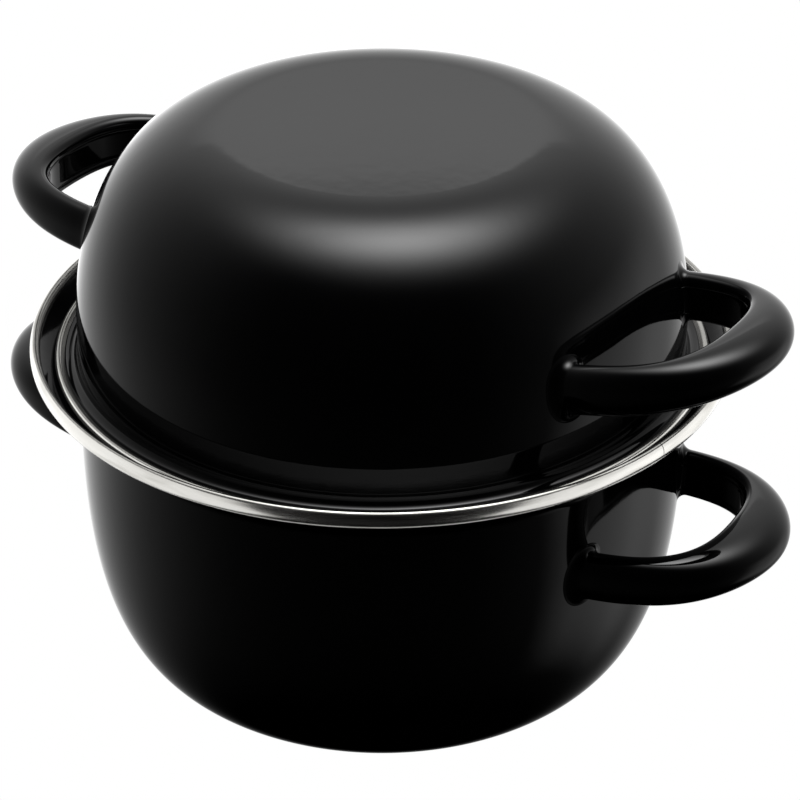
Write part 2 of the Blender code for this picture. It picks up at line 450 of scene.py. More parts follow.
class GlazeRipple(EffectGroup):
    """Faint waviness of a fired glaze, with the odd pinhole."""

    name = "glaze_ripple"
    inputs = {"Wave size": 0.006, "Wave depth": 1.0, "Peel size": 0.0012, "Peel depth": 0.12,
              "Pinhole depth": 0.4}
    outputs = ("Height", "Pinholes")

    def draw(self, sketch: Sketch) -> None:
        """Sums a long wave, a fine orange peel and sparse pits.

        Args:
            sketch: The group's tree.
        """
        given = sketch.add("NodeGroupInput").outputs
        place = sketch.add("ShaderNodeTexCoord").outputs["Object"]
        wave = sketch.noise(place, sketch.calc("DIVIDE", 1.0, given["Wave size"]), 1.0)
        peel = sketch.noise(place, sketch.calc("DIVIDE", 1.0, given["Peel size"]), 1.0)
        pits = sketch.wired("ShaderNodeTexVoronoi", {"Vector": place, "Scale": 95.0}, feature="F1")
        pinholes = sketch.fall(pits.outputs["Distance"], 0.012, 0.032)
        height = sketch.calc("MULTIPLY", wave, given["Wave depth"])
        height = sketch.calc("MULTIPLY_ADD", peel, given["Peel depth"], height)
        height = sketch.calc("SUBTRACT", height, sketch.calc("MULTIPLY", pinholes, given["Pinhole depth"]))
        sketch.wired("NodeGroupOutput", {"Height": height, "Pinholes": pinholes})


class HandlingMarks(EffectGroup):
    """Patches where wiping has left the gloss a little uneven."""

    name = "handling_marks"
    inputs = {"Patch size": 0.045, "Streak size": 0.0035}
    outputs = ("Mask",)

    def draw(self, sketch: Sketch) -> None:
        """Mixes broad patches with wiped streaks.

        Args:
            sketch: The group's tree.
        """
        given = sketch.add("NodeGroupInput").outputs
        place = sketch.add("ShaderNodeTexCoord").outputs["Object"]
        patches = sketch.noise(place, sketch.calc("DIVIDE", 1.0, given["Patch size"]), 3.0, 0.55, 0.6)
        squeezed = sketch.vector("MULTIPLY", place, (1.0, 1.0, 0.2))
        streaks = sketch.noise(squeezed, sketch.calc("DIVIDE", 1.0, given["Streak size"]), 2.0)
        soft = sketch.fall(patches, 0.62, 0.42)
        sketch.wired("NodeGroupOutput", {"Mask": sketch.calc("MULTIPLY", soft, streaks)})


class RingGrain(EffectGroup):
    """Rolling and polishing marks that run round the ring."""

    name = "ring_grain"
    inputs = {"Radius": 0.1074, "Streak length": 0.011, "Streak width": 0.0005}
    outputs = ("Grain", "Cloud")

    def draw(self, sketch: Sketch) -> None:
        """Stretches a noise along the ring.

        Args:
            sketch: The group's tree.
        """
        given = sketch.add("NodeGroupInput").outputs
        place = sketch.add("ShaderNodeTexCoord").outputs["Object"]
        parts = sketch.add("ShaderNodeSeparateXYZ")
        sketch.feed(parts.inputs[0], place)
        turn = sketch.calc("ARCTAN2", parts.outputs["Y"], parts.outputs["X"])
        along = sketch.calc("DIVIDE", sketch.calc("MULTIPLY", turn, given["Radius"]), given["Streak length"])
        plan = sketch.add("ShaderNodeVectorMath", operation="LENGTH")
        sketch.feed(plan.inputs[0], sketch.vector("MULTIPLY", place, (1.0, 1.0, 0.0)))
        across = sketch.calc("DIVIDE", sketch.calc("ADD", plan.outputs["Value"], parts.outputs["Z"]),
                             given["Streak width"])
        height = sketch.calc("DIVIDE", parts.outputs["Z"], given["Streak width"])
        joined = sketch.add("ShaderNodeCombineXYZ")
        for socket, source in zip(joined.inputs, (along, across, height)):
            sketch.feed(socket, source)
        grain = sketch.noise(joined.outputs[0], 1.0, 3.0, 0.6)
        cloud = sketch.noise(sketch.vector("MULTIPLY", joined.outputs[0], (0.55, 0.12, 0.12)), 1.0, 2.0)
        sketch.wired("NodeGroupOutput", {"Grain": grain, "Cloud": cloud})


@dataclass(frozen=True)
class Finish:
    """What every finish has.

    Args:
        name: Name of the material.
        colour: Base colour, linear.
    """

    name: str
    colour: tuple[float, float, float]

    def start(self) -> tuple[bpy.types.Material, Sketch, bpy.types.Node]:
        """Makes an empty material with its shader.

        Returns:
            The material, its tree and its Principled shader.
        """
        made = bpy.data.materials.new(self.name)
        made.use_nodes = True
        made.diffuse_color = (*self.colour, 1.0)
        sketch = Sketch(made.node_tree)
        shader = sketch.add("ShaderNodeBsdfPrincipled")
        output = sketch.add("ShaderNodeOutputMaterial")
        sketch.feed(output.inputs["Surface"], shader.outputs["BSDF"])
        return made, sketch, shader

    def dress(self, sketch: Sketch, shader: bpy.types.Node, share: bpy.types.NodeSocket,
              other: tuple[float, float, float], rough: bpy.types.NodeSocket,
              height: bpy.types.NodeSocket, relief: float) -> None:
        """Feeds the shader's colour, roughness and relief.

        Args:
            sketch: The material's tree.
            shader: Its shader.
            share: Share of the other colour.
            other: The other colour, linear.
            rough: Roughness.
            height: Height of the relief, as a share of its depth.
            relief: Depth of the relief, in metres.
        """
        colour = sketch.add("ShaderNodeMix", data_type="RGBA")
        sketch.feed(colour.inputs["Factor"], share)
        colour.inputs["A"].default_value = (*self.colour, 1.0)
        colour.inputs["B"].default_value = (*other, 1.0)
        sketch.feed(shader.inputs["Base Color"], colour.outputs["Result"])
        sketch.feed(shader.inputs["Roughness"], rough)
        bump = sketch.wired("ShaderNodeBump", {"Strength": 1.0, "Distance": relief, "Height": height})
        sketch.feed(shader.inputs["Normal"], bump.outputs["Normal"])


@dataclass(frozen=True)
class GlossEnamel(Finish):
    """Black vitreous enamel, glossy, with a faint ripple and wiping marks.

    Args:
        ripple: Group of the glaze's waviness.
        marks: Group of the wiping marks.
        gloss: Roughness where the glaze is clean.
        dulled: Roughness inside the wiping marks.
        relief: Depth of the ripple, in metres.
        worn: Colour inside the wiping marks, linear.
        bending: Refractive index of the glaze.
    """

    ripple: EffectGroup = None
    marks: EffectGroup = None
    gloss: float = 0.045
    dulled: float = 0.085
    relief: float = 0.000012
    worn: tuple[float, float, float] = (0.0032, 0.0032, 0.0034)
    bending: float = 1.52

    def material(self) -> bpy.types.Material:
        """Builds the material.

        Returns:
            The material.
        """
        made, sketch, shader = self.start()
        ripple = self.ripple.use(sketch)
        marks = self.marks.use(sketch)
        mask = sketch.calc("ADD", marks.outputs["Mask"], ripple.outputs["Pinholes"], clamp=True)
        rough = sketch.calc("MULTIPLY_ADD", mask, self.dulled - self.gloss, self.gloss)
        self.dress(sketch, shader, mask, self.worn, rough, ripple.outputs["Height"], self.relief)
        shader.inputs["IOR"].default_value = self.bending
        return made


@dataclass(frozen=True)
class PolishedSteel(Finish):
    """Rolled and polished steel with marks along the ring.

    Args:
        grain: Group of the marks.
        gloss: Lowest roughness.
        spread: Roughness that the marks add.
        relief: Depth of the marks, in metres.
        shade: Colour in the duller streaks, linear.
        streaked: Cloud at which a streak is full and at which it ends.
    """

    grain: EffectGroup = None
    gloss: float = 0.13
    spread: float = 0.16
    relief: float = 0.000010
    shade: tuple[float, float, float] = (0.50, 0.49, 0.46)
    streaked: tuple[float, float] = (0.30, 0.62)

    def material(self) -> bpy.types.Material:
        """Builds the material.

        Returns:
            The material.
        """
        made, sketch, shader = self.start()
        marks = self.grain.use(sketch).outputs
        streaks = sketch.fall(marks["Cloud"], *self.streaked)
        rough = sketch.calc("MULTIPLY_ADD", marks["Grain"], self.spread, self.gloss)
        self.dress(sketch, shader, streaks, self.shade, rough, marks["Grain"], self.relief)
        shader.inputs["Metallic"].default_value = 1.0
        return made


# Bodies

@dataclass
class PotBody:
    """Deep-drawn pot with a flat underside and a flared rim.

    Args:
        rim: Sizes of the rim.
        wall_radius: Outside of the straight wall.
        foot_radius: Edge of the flat underside.
        wall_drop: Straight wall and flare, below the middle of the band.
        squareness: Squareness of the lower body.
        bend: Bend between the wall and the flare, outside.
        segments: Sides of the turned mesh.
        curve_steps: Chords along the lower body.
        bend_steps: Chords along each bend.
    """

    rim: RimFit
    wall_radius: float = 0.0948
    foot_radius: float = 0.0589
    wall_drop: float = 0.0237
    squareness: float = 2.7
    bend: float = 0.0060
    segments: int = 288
    curve_steps: int = 56
    bend_steps: int = 12

    def outline(self) -> Profile:
        """Outside from the underside's edge to the corner under the flare."""
        wall = bowl_curve(self.foot_radius, self.wall_radius, 0.0, self.rim.height - self.wall_drop,
                          self.squareness, self.curve_steps)
        return wall + [(self.wall_radius, self.rim.flare_outside(self.wall_radius))]

    def section(self) -> Profile:
        """Whole section from the underside's centre round the edge to the inside's centre."""
        rim = self.rim
        turn = math.pi / 2 - rim.slope
        corner = rim.flare_outside(self.wall_radius)
        centre = (self.wall_radius + self.bend, corner - self.bend * math.tan(turn / 2))
        bend = arc(centre, self.bend, math.pi, math.pi - turn, self.bend_steps)
        edge, height = rim.edge
        half = rim.sheet / 2
        lower_end = (edge + half * math.sin(rim.slope), height - half * math.cos(rim.slope))
        outside = self.outline()[:-1] + bend + [lower_end]
        inside = offset(outside, rim.sheet)
        tip = arc(rim.edge, half, rim.slope - math.pi / 2, rim.slope + math.pi / 2, self.bend_steps)
        return [(0.0, 0.0)] + outside[:-1] + tip + inside[-2::-1] + [(0.0, rim.sheet)]

    def build(self, finish: bpy.types.Material) -> None:
        """Makes the pot.

        Args:
            finish: Its material.
        """
        made = turned("pot_body_enamelled", self.section(), 0.0, self.segments, finish)
        Piece(made.name, "pot_body", Body.POT, Slot.ENAMEL).place(made)


@dataclass
class LidBody:
    """Deep domed lid with a flat top and a turned-up edge that rests in the pot's flare.

    Args:
        rim: Sizes of the rim.
        wall_radius: Outside of the straight wall.
        top_radius: Edge of the flat top.
        height: Top face above the middle of the band.
        wall_height: End of the straight wall above the middle of the band.
        squareness: Squareness of the dome.
        bend: Bend between the wall and the turned-up edge, outside.
        turn: Angle at which the lid is set down, in radians.
        segments: Sides of the turned mesh.
        curve_steps: Chords along the dome.
        bend_steps: Chords along each bend.
    """

    rim: RimFit
    wall_radius: float = 0.0942
    top_radius: float = 0.0468
    height: float = 0.0708
    wall_height: float = 0.0074
    squareness: float = 2.25
    bend: float = 0.0030
    turn: float = math.radians(-3.9)
    segments: int = 288
    curve_steps: int = 64
    bend_steps: int = 16

    @property
    def top(self) -> float:
        """Height of the top face."""
        return self.rim.height + self.height

    def seat(self) -> Point:
        """Centre of the bend at the lid's foot, placed so that the lid's band rests in the pot's flare."""
        rim = self.rim
        radius = self.wall_radius + self.bend
        flare_inside = rim.flare_outside(radius) + rim.sheet / math.cos(rim.slope)
        distance = self.bend + rim.sheet / 2 + rim.trim_reach + rim.gap
        return (radius, flare_inside + distance / math.cos(rim.slope))

    def edge(self) -> Point:
        """Middle of the sheet at the edge, which is also the middle of the band's fold."""
        rim = self.rim
        centre = self.seat()
        middle = self.bend + rim.sheet / 2
        start = (centre[0] + middle * math.sin(rim.slope), centre[1] - middle * math.cos(rim.slope))
        run = rim.radius - rim.band_width - rim.trim_space - rim.trim_reach - start[0]
        return (start[0] + run, start[1] + run * math.tan(rim.slope))

    def outline(self) -> Profile:
        """Outside from the flat top's edge down to the bend."""
        dome = bowl_curve(self.top_radius, self.wall_radius, self.top, self.rim.height + self.wall_height,
                          self.squareness, self.curve_steps)
        return dome + [(self.wall_radius, self.seat()[1])]

    def section(self) -> Profile:
        """Whole section from the top's centre round the edge to the inside's centre."""
        rim = self.rim
        gutter = arc(self.seat(), self.bend, math.pi, 3 * math.pi / 2 + rim.slope, self.bend_steps)
        half = rim.sheet / 2
        edge = self.edge()
        upper_end = (edge[0] - half * math.sin(rim.slope), edge[1] + half * math.cos(rim.slope))
        outside = self.outline()[:-1] + gutter + [upper_end]
        inside = offset(outside, -rim.sheet)
        tip = arc(edge, half, rim.slope + math.pi / 2, rim.slope - math.pi / 2, self.bend_steps)
        return [(0.0, self.top)] + outside[:-1] + tip + inside[-2::-1] + [(0.0, self.top - rim.sheet)]

    def build(self, finish: bpy.types.Material) -> None:
        """Makes the lid.

        Args:
            finish: Its material.
        """
        made = turned("lid_body_enamelled", self.section(), self.turn, self.segments, finish)
        Piece(made.name, "lid_body", Body.LID, Slot.ENAMEL).place(made)


@dataclass
class SteelBand:
    """Steel strip folded over an edge, swept round the ring, with a butt joint.

    Args:
        node: Node of the part that it stands for.
        body: Body that it moves with.
        middle: Radius and height of the middle of its section.
        outline: Closed section about that middle, outward along the first coordinate.
        joint_turn: Angle of the joint about Z, in radians.
        joint_gap: Open width of the butt joint.
        segments: Sides round the ring.
        sharp: Edges bent more than this stay sharp, in radians.
    """

    node: str
    body: Body
    middle: Point
    outline: Profile
    joint_turn: float
    joint_gap: float = 0.00025
    segments: int = 360
    sharp: float = math.radians(50.0)

    @staticmethod
    def tree() -> bpy.types.NodeTree:
        """Geometry Nodes that sweep a section round the ring and leave the joint open."""
        tree = bpy.data.node_groups.new("folded_steel_band", "GeometryNodeTree")
        face = tree.interface
        face.new_socket("Section", in_out="INPUT", socket_type="NodeSocketGeometry")
        for label in ("Ring radius", "Ring height", "Joint turn", "Joint angle"):
            face.new_socket(label, in_out="INPUT", socket_type="NodeSocketFloat")
        face.new_socket("Sides", in_out="INPUT", socket_type="NodeSocketInt")
        face.new_socket("Finish", in_out="INPUT", socket_type="NodeSocketMaterial")
        face.new_socket("Band", in_out="OUTPUT", socket_type="NodeSocketGeometry")
        sketch = Sketch(tree)
        given = sketch.add("NodeGroupInput").outputs
        outline = sketch.wired("GeometryNodeMeshToCurve", {"Mesh": given["Section"]})
        half = sketch.calc("MULTIPLY", given["Joint angle"], 0.5)
        ring = sketch.wired("GeometryNodeCurveArc", {
            "Resolution": given["Sides"], "Radius": given["Ring radius"],
            "Start Angle": sketch.calc("ADD", given["Joint turn"], half),
            "Sweep Angle": sketch.calc("SUBTRACT", 2 * math.pi, given["Joint angle"])}, mode="RADIUS")
        upright = sketch.wired("GeometryNodeSetCurveNormal", {"Curve": ring.outputs["Curve"]}, mode="Z_UP")
        sweep = sketch.wired("GeometryNodeCurveToMesh", {
            "Curve": upright.outputs["Curve"], "Profile Curve": outline.outputs["Curve"], "Fill Caps": True})
        lift = sketch.wired("ShaderNodeCombineXYZ", {"Z": given["Ring height"]})
        placed = sketch.wired("GeometryNodeTransform", {
            "Geometry": sweep.outputs["Mesh"], "Translation": lift.outputs["Vector"]})
        real = sketch.wired("GeometryNodeRealizeInstances", {"Geometry": placed.outputs["Geometry"]})
        dressed = sketch.wired("GeometryNodeSetMaterial", {
            "Geometry": real.outputs["Geometry"], "Material": given["Finish"]})
        sketch.wired("NodeGroupOutput", {"Band": dressed.outputs["Geometry"]})
        return tree

    def build(self, tree: bpy.types.NodeTree, finish: bpy.types.Material) -> bpy.types.Object:
        """Makes the band.

        Args:
            tree: The Geometry Nodes of the bands.
            finish: Its material.

        Returns:
            The object.
        """
        edges = [(index, (index + 1) % len(self.outline)) for index in range(len(self.outline))]
        outline = bpy.data.meshes.new(f"{self.node}_section")
        # The sweep takes the section's second coordinate downward
        outline.from_pydata([(across, -up, 0.0) for across, up in self.outline], edges, [])
        source = bpy.data.objects.new(f"{self.node}_source", outline)
        bpy.context.scene.collection.objects.link(source)
        sweep = source.modifiers.new("sweep", "NODES")
        sweep.node_group = tree
        radius, height = self.middle
        values = {"Ring radius": radius, "Ring height": height, "Joint turn": self.joint_turn,
                  "Joint angle": self.joint_gap / radius, "Sides": self.segments, "Finish": finish}
        for socket in tree.interface.items_tree:
            if socket.in_out == "INPUT" and socket.name in values:
                sweep[socket.identifier] = values[socket.name]
        shape = bpy.data.meshes.new_from_object(source.evaluated_get(bpy.context.evaluated_depsgraph_get()))
        bpy.data.objects.remove(source, do_unlink=True)
        work = bmesh.new()
        work.from_mesh(shape)
        bpy.data.meshes.remove(shape)
        made = mesh_object(f"{self.node}_polished", work, finish, self.sharp)
        Piece(made.name, self.node, self.body, Slot.STEEL).place(made)
        # The glaze doesn't mirror the bands
        made.visible_glossy = False
        return made


def rolled_section(rim: RimFit, outer_steps: int = 48, inner_steps: int = 28) -> Profile:
    """C-section of the pot's band, open where the pot's sheet runs into it.

    Args:
        rim: Sizes of the rim.
        outer_steps: Chords of the outside.
        inner_steps: Chords of the inside.

    Returns:
        The closed outline about the middle of the band.
    """
    half_mouth = rim.sheet / 2 + rim.gap
    points: Profile = []
    for width, height, steps, direction in (
            (rim.band_width / 2, rim.band_height / 2, outer_steps, 1),
            (rim.band_width / 2 - rim.band_sheet, rim.band_height / 2 - rim.band_sheet, inner_steps, -1)):
        reach = math.hypot(width * math.cos(rim.slope), height * math.sin(rim.slope))
        mouth = math.asin(half_mouth / reach)
        entry = math.pi + math.atan2(width * math.sin(rim.slope), height * math.cos(rim.slope))
        first = entry + mouth
        last = entry + 2 * math.pi - mouth
        turns = [first + (last - first) * step / steps for step in range(steps + 1)][::direction]
        points += [(width * math.cos(turn), height * math.sin(turn)) for turn in turns]
    return points


def folded_section(rim: RimFit, steps: int = 20) -> Profile:
    """U-section of the lid's band: a half-round fold with a straight leg on each face of the sheet.

    Args:
        rim: Sizes of the rim.
        steps: Chords of each side of the fold.

    Returns:
        The closed outline about the middle of the fold.
    """
    points: Profile = []
    for reach, direction in ((rim.trim_reach, 1), (rim.trim_reach - rim.trim_sheet, -1)):
        fold = arc((0.0, 0.0), reach, -math.pi / 2, math.pi / 2, steps)
        points += ([(-rim.trim_leg, -reach)] + fold + [(-rim.trim_leg, reach)])[::direction]
    run, rise = math.cos(rim.slope), math.sin(rim.slope)
    return [(x * run - y * rise, x * rise + y * run) for x, y in points]


# Handles

@dataclass(frozen=True)
class Strand:
    """One face of a handle's section, which passes from the arm's form to the grip's.

    Args:
        arm: Its points at the arm.
        grip: Its points at the grip.
        pull: Directions in which it grows at a weld.
    """

    arm: np.ndarray
    grip: np.ndarray
    pull: np.ndarray


@dataclass
class LoopHandle:
    """Welded loop handle: an outer pressing and the strip that closes it on the finger side.

    Args:
        body: Body that carries it.
        side: Side of the body.
        wall: Outside outline of the body.
        outward: 1 if the outside is to the left of the outline's direction, else -1.
        radius: Outside of the body's straight wall.
        height: Middle of an arm at the wall.
        tilt: Slope of the handle, in radians.
        turn: Turn of its body about Z, in radians.
        sheet: Sheet of the pressing and the strip.
        finger_space: From the body's wall to the grip.
        half_span: Half the finger opening where the arms meet the body.
        arm_angle: By which each arm closes toward the grip, in radians.
        arm_pull: Reach of the arm's straight run before it turns.
        grip_pull: Half width of the grip's flat run.
        arm_depth: Thickness of an arm, in plan.
        grip_depth: Thickness of the grip, in plan.
        arm_height: Height of an arm.
        grip_height: Height of the grip.
        grip_swell: Above 1, the arm swells into the grip later.
        edge_round: Rounding of the finger side's edges.
        crown: Fullness of the outer side, 1 for an ellipse.
        lip: Flat lip of the pressing beside the strip.
        seam: Open width between the lip and the strip.
        seam_round: Rounding of the seam's edges.
        arm_root: Start of the arm's curve, inside the wall.
        arm_tail: Straight run behind that start.
        fillet: Radius of the enamelled weld round each arm.
        sink: How far the pieces run into the body's wall.
        arm_start: Along the arm from its curve's start to where the fillet's stations end.
        search_share: End of the search for the weld, as a share of that length.
        halvings: Steps of that search.
        crown_steps: Chords of the outer side.
        edge_steps: Chords of a rounded edge.
        seam_steps: Chords of a seam's edge.
        strip_steps: Chords across the strip.
        fillet_steps: Stations along the weld.
        settle_steps: Stations from the weld to the arm.
        stations: Stations from there to the middle of the grip.
        sharp: Edges bent more than this stay sharp, in radians.
    """

    body: Body
    side: Side
    wall: Profile
    outward: float
    radius: float
    height: float
    tilt: float
    turn: float = 0.0
    sheet: float = 0.0012
    finger_space: float = 0.0250
    half_span: float = 0.0308
    arm_angle: float = math.radians(2.0)
    arm_pull: float = 0.0268
    grip_pull: float = 0.0188
    arm_depth: float = 0.0075
    grip_depth: float = 0.0172
    arm_height: float = 0.0158
    grip_height: float = 0.0168
    grip_swell: float = 1.4
    edge_round: float = 0.0026
    crown: float = 0.9
    lip: float = 0.0008
    seam: float = 0.00018
    seam_round: float = 0.00025
    arm_root: float = 0.0076
    arm_tail: float = 0.0120
    fillet: float = 0.0028
    sink: float = 0.00015
    arm_start: float = 0.0170
    search_share: float = 1.2
    halvings: int = 36
    crown_steps: int = 36
    edge_steps: int = 8
    seam_steps: int = 3
    strip_steps: int = 8
    fillet_steps: int = 10
    settle_steps: int = 6
    stations: int = 48
    sharp: float = math.radians(60.0)
    _wall: np.ndarray = field(init=False, repr=False)

    def __post_init__(self) -> None:
        """Keeps the wall's outline as an array."""
        self._wall = np.array(self.wall)

    @property
    def piece_prefix(self) -> str:
        """Start of the names of its nodes."""
        return f"{self.body.value}_handle_{self.side.label}"

    def gap(self, places: np.ndarray) -> np.ndarray:
        """Distance from the outside of the body.

        Args:
            places: Points, with their coordinates last.

        Returns:
            Distances, negative inside the wall.
        """
        spots = np.stack((np.hypot(places[..., 0], places[..., 1]), places[..., 2]), -1)[..., None, :]
        first = self._wall[:-1]
        run = self._wall[1:] - first
        share = np.clip(((spots - first) * run).sum(-1) / (run * run).sum(-1), 0.0, 1.0)
        away = spots - first - share[..., None] * run
        distance = np.hypot(away[..., 0], away[..., 1])
        turn = run[:, 0] * away[..., 1] - run[:, 1] * away[..., 0]
        nearest = distance.argmin(-1)[..., None]
        signed = np.take_along_axis(distance * np.sign(turn), nearest, -1)[..., 0]
        return self.outward * signed

    def path(self, along: np.ndarray) -> tuple[np.ndarray, np.ndarray, np.ndarray]:
        """Finger side of the handle in plan.

        Args:
            along: Position along the arm, 0 at the start of its curve.

        Returns:
            Points, outward directions and the share of grip.
        """
        direction = np.array((math.cos(self.arm_angle), -math.sin(self.arm_angle)))
        start = np.array((self.radius - self.arm_root, self.half_span))
        arm = start + self.arm_pull * direction
        grip = np.array((self.radius + self.finger_space, self.grip_pull))
        end = np.array((grip[0], 0.0))
        t = np.clip(along / (3 * self.arm_pull), 0.0, 1.0)[..., None]
        u = 1 - t
        points = u ** 3 * start + 3 * u * u * t * arm + 3 * u * t * t * grip + t ** 3 * end
        points = points + np.minimum(along, 0.0)[..., None] * direction
        slope = 3 * u * u * (arm - start) + 6 * u * t * (grip - arm) + 3 * t * t * (end - grip)
        slope = slope / np.linalg.norm(slope, axis=-1, keepdims=True)
        swell = t[..., 0] ** self.grip_swell
        return points, np.stack((-slope[..., 1], slope[..., 0]), -1), swell * swell * (3 - 2 * swell)

    def place(self, along: np.ndarray, strand: Strand, growth: np.ndarray) -> np.ndarray:
        """Points of the swept section.

        Args:
            along: Position along the arm.
            strand: Face of the section.
            growth: How far it grows.

        Returns:
            Points in the handle's own frame, on its right side.
        """
        points, outward, share = self.path(along)
        flat = strand.arm + (strand.grip - strand.arm) * share[..., None] + strand.pull * growth[..., None]
        plan = points + outward * flat[..., :1]
        rise = math.tan(self.tilt) * (plan[..., 0] - self.radius)
        return np.concatenate((plan, (self.height + rise + flat[..., 1])[..., None]), -1)

    def reach(self, target: np.ndarray, strand: Strand, growth: np.ndarray) -> np.ndarray:
        """Positions along the arm at which the section is at given distances from the wall.

        Args:
            target: Distances from the wall.
            strand: Face of the section.
            growth: How far it grows.

        Returns:
            Positions along the arm.
        """
        low = np.full(target.shape, -self.arm_tail)
        high = np.full(target.shape, self.arm_start * self.search_share)
        for _ in range(self.halvings):
            middle = (low + high) / 2
            beyond = self.gap(self.place(middle, strand, growth)) > target
            high = np.where(beyond, middle, high)
            low = np.where(beyond, low, middle)
        return (low + high) / 2

    def shell_section(self, depth: float, half: float) -> tuple[Profile, Profile, Profile]:
        """C-section of the outer pressing.

        Args:
            depth: Its depth, away from the fingers.
            half: Half its height.

        Returns:
            Outside, inside and the directions in which the outside grows at a weld.
        """
        turns = [math.pi / 2 - math.pi * step / self.crown_steps for step in range(1, self.crown_steps)]
        crown = [(self.edge_round + (depth - self.edge_round) * math.cos(turn) ** self.crown,
                  half * math.sin(turn)) for turn in turns]
        upper = arc((self.edge_round, half - self.edge_round), self.edge_round, math.pi, math.pi / 2,
                    self.edge_steps)
        lip_end = half - self.edge_round - self.lip
        small = self.seam_round
        rounded = arc((small, lip_end + small), small, 3 * math.pi / 2, math.pi, self.seam_steps)
        lower = [(n, -z) for n, z in upper[::-1]]
        outside = rounded + upper + crown + lower + [(n, -z) for n, z in rounded[::-1]]
        lip_count = len(rounded)
        tangents = np.gradient(np.array(upper + crown + lower), axis=0)
        tangents /= np.linalg.norm(tangents, axis=1, keepdims=True)
        pulls = [(-1.0, 0.0)] * lip_count + [(-t[1], t[0]) for t in tangents] + [(-1.0, 0.0)] * lip_count
        inner = offset([(0.0, lip_end)] + upper + crown + lower + [(0.0, -lip_end)], -self.sheet)
        inside = [inner[0]] * lip_count + inner[1:-1] + [inner[-1]] * lip_count
        return outside, inside, pulls

    def strip_section(self, _depth: float, half: float) -> tuple[Profile, Profile, Profile]:
        """Section of the strip that closes the pressing.

        Args:
            _depth: Not used, the strip is flat.
            half: Half the handle's height.

        Returns:
            Finger side, back and the directions in which the finger side grows at a weld.
        """
        top = half - self.edge_round - self.lip - self.seam
        small = self.seam_round
        rounded = arc((small, top - small), small, math.pi / 2, math.pi, self.seam_steps)
        count = self.strip_steps
        levels = [top - small - (top - small) * 2 * step / count for step in range(1, count)]
        front = rounded + [(0.0, level) for level in levels] + [(n, -z) for n, z in rounded[::-1]]
        back = [(self.sheet, z) for _, z in front]
        return front, back, [(-1.0, 0.0)] * len(front)

    def swept(self, name: str, section: Any, finish: bpy.types.Material) -> bpy.types.Object:
        """Sweeps a section round the handle and flares it into the wall at both ends.

        Args:
            name: Name of the object.
            section: Method that gives the section.
            finish: Its material.

        Returns:
            The object, in the scene.
        """
        arm = [np.array(part) for part in section(self.arm_depth, self.arm_height / 2)]
        grip = [np.array(part) for part in section(self.grip_depth, self.grip_height / 2)]
        turns = np.linspace(math.pi / 2, 0.0, self.fillet_steps + 1)
        growth = np.concatenate(([self.fillet + 2 * self.sink], self.fillet * (1 - np.cos(turns))))
        space = np.concatenate(([-self.sink], self.fillet * (1 - np.sin(turns))))
        sides = []
        for index, pull in ((0, arm[2]), (1, np.zeros_like(arm[2]))):
            grown = growth if index == 0 else np.zeros_like(growth)
            strand = Strand(arm[index], grip[index], pull)
            shape = (len(space), len(strand.arm))
            target = np.broadcast_to(space[:, None], shape)
            swell = np.broadcast_to(grown[:, None], shape)
            rooted = self.reach(target, strand, swell)
            last = rooted[-1]
            steps = np.linspace(0.0, 1.0, self.settle_steps + 1)[1:, None]
            settled = last + (self.arm_start - last) * steps
            onward = np.linspace(self.arm_start, 3 * self.arm_pull, self.stations + 1)[1:, None]
            onward = np.broadcast_to(onward, (self.stations, shape[1]))
            along = np.concatenate((rooted, settled, onward))
            swell = np.concatenate((swell, np.zeros((len(along) - len(swell), shape[1]))))
            half = self.place(along, strand, swell)
            mirrored = half[-2::-1] * np.array((1.0, -1.0, 1.0))
            sides.append(np.concatenate((half, mirrored)))
        spin = Matrix.Rotation(self.side.turn + self.turn, 4, "Z")
        work = bmesh.new()
        outer, inner = ([[work.verts.new(spin @ Vector(point)) for point in row] for row in part]
                        for part in sides)
        rings = [first + second[::-1] for first, second in zip(outer, inner)]
        for ring, following in zip(rings, rings[1:]):
            for index in range(len(ring)):
                after = (index + 1) % len(ring)
                work.faces.new((ring[index], ring[after], following[after], following[index]))
        for first, second in ((outer[0], inner[0]), (outer[-1], inner[-1])):
            for index in range(len(first) - 1):
                work.faces.new((first[index], first[index + 1], second[index + 1], second[index]))
        bmesh.ops.dissolve_degenerate(work, dist=MERGE_DISTANCE, edges=work.edges)
        return mesh_object(name, work, finish, self.sharp)

    def build(self, finish: bpy.types.Material) -> None:
        """Makes the pressing and the strip.

        Args:
            finish: Their material.
        """
        for part, section in (("shell", self.shell_section), ("strip", self.strip_section)):
            node = f"{self.piece_prefix}_{part}"
            made = self.swept(f"{node}_enamelled", section, finish)
            Piece(made.name, node, self.body, Slot.ENAMEL).place(made)


# Studio

def sky_direction(turn: float, rise: float) -> Vector:
    """Unit vector toward a place in the surround.

    Args:
        turn: Its bearing, in radians.
        rise: Its elevation, in radians.

    Returns:
        The vector.
    """
    return Vector((math.sin(turn) * math.cos(rise), math.cos(turn) * math.cos(rise), math.sin(rise)))


@dataclass(frozen=True)
class SkyPlace:
    """Sockets that say where a reflected ray meets the surround.

    Args:
        direction: Unit vector, with the camera's bearing taken out.
        bearing: Azimuth in degrees, 0 behind the pot and 90 to the camera's right.
        height: Elevation in degrees.
    """

    direction: bpy.types.NodeSocket
    bearing: bpy.types.NodeSocket
    height: bpy.types.NodeSocket


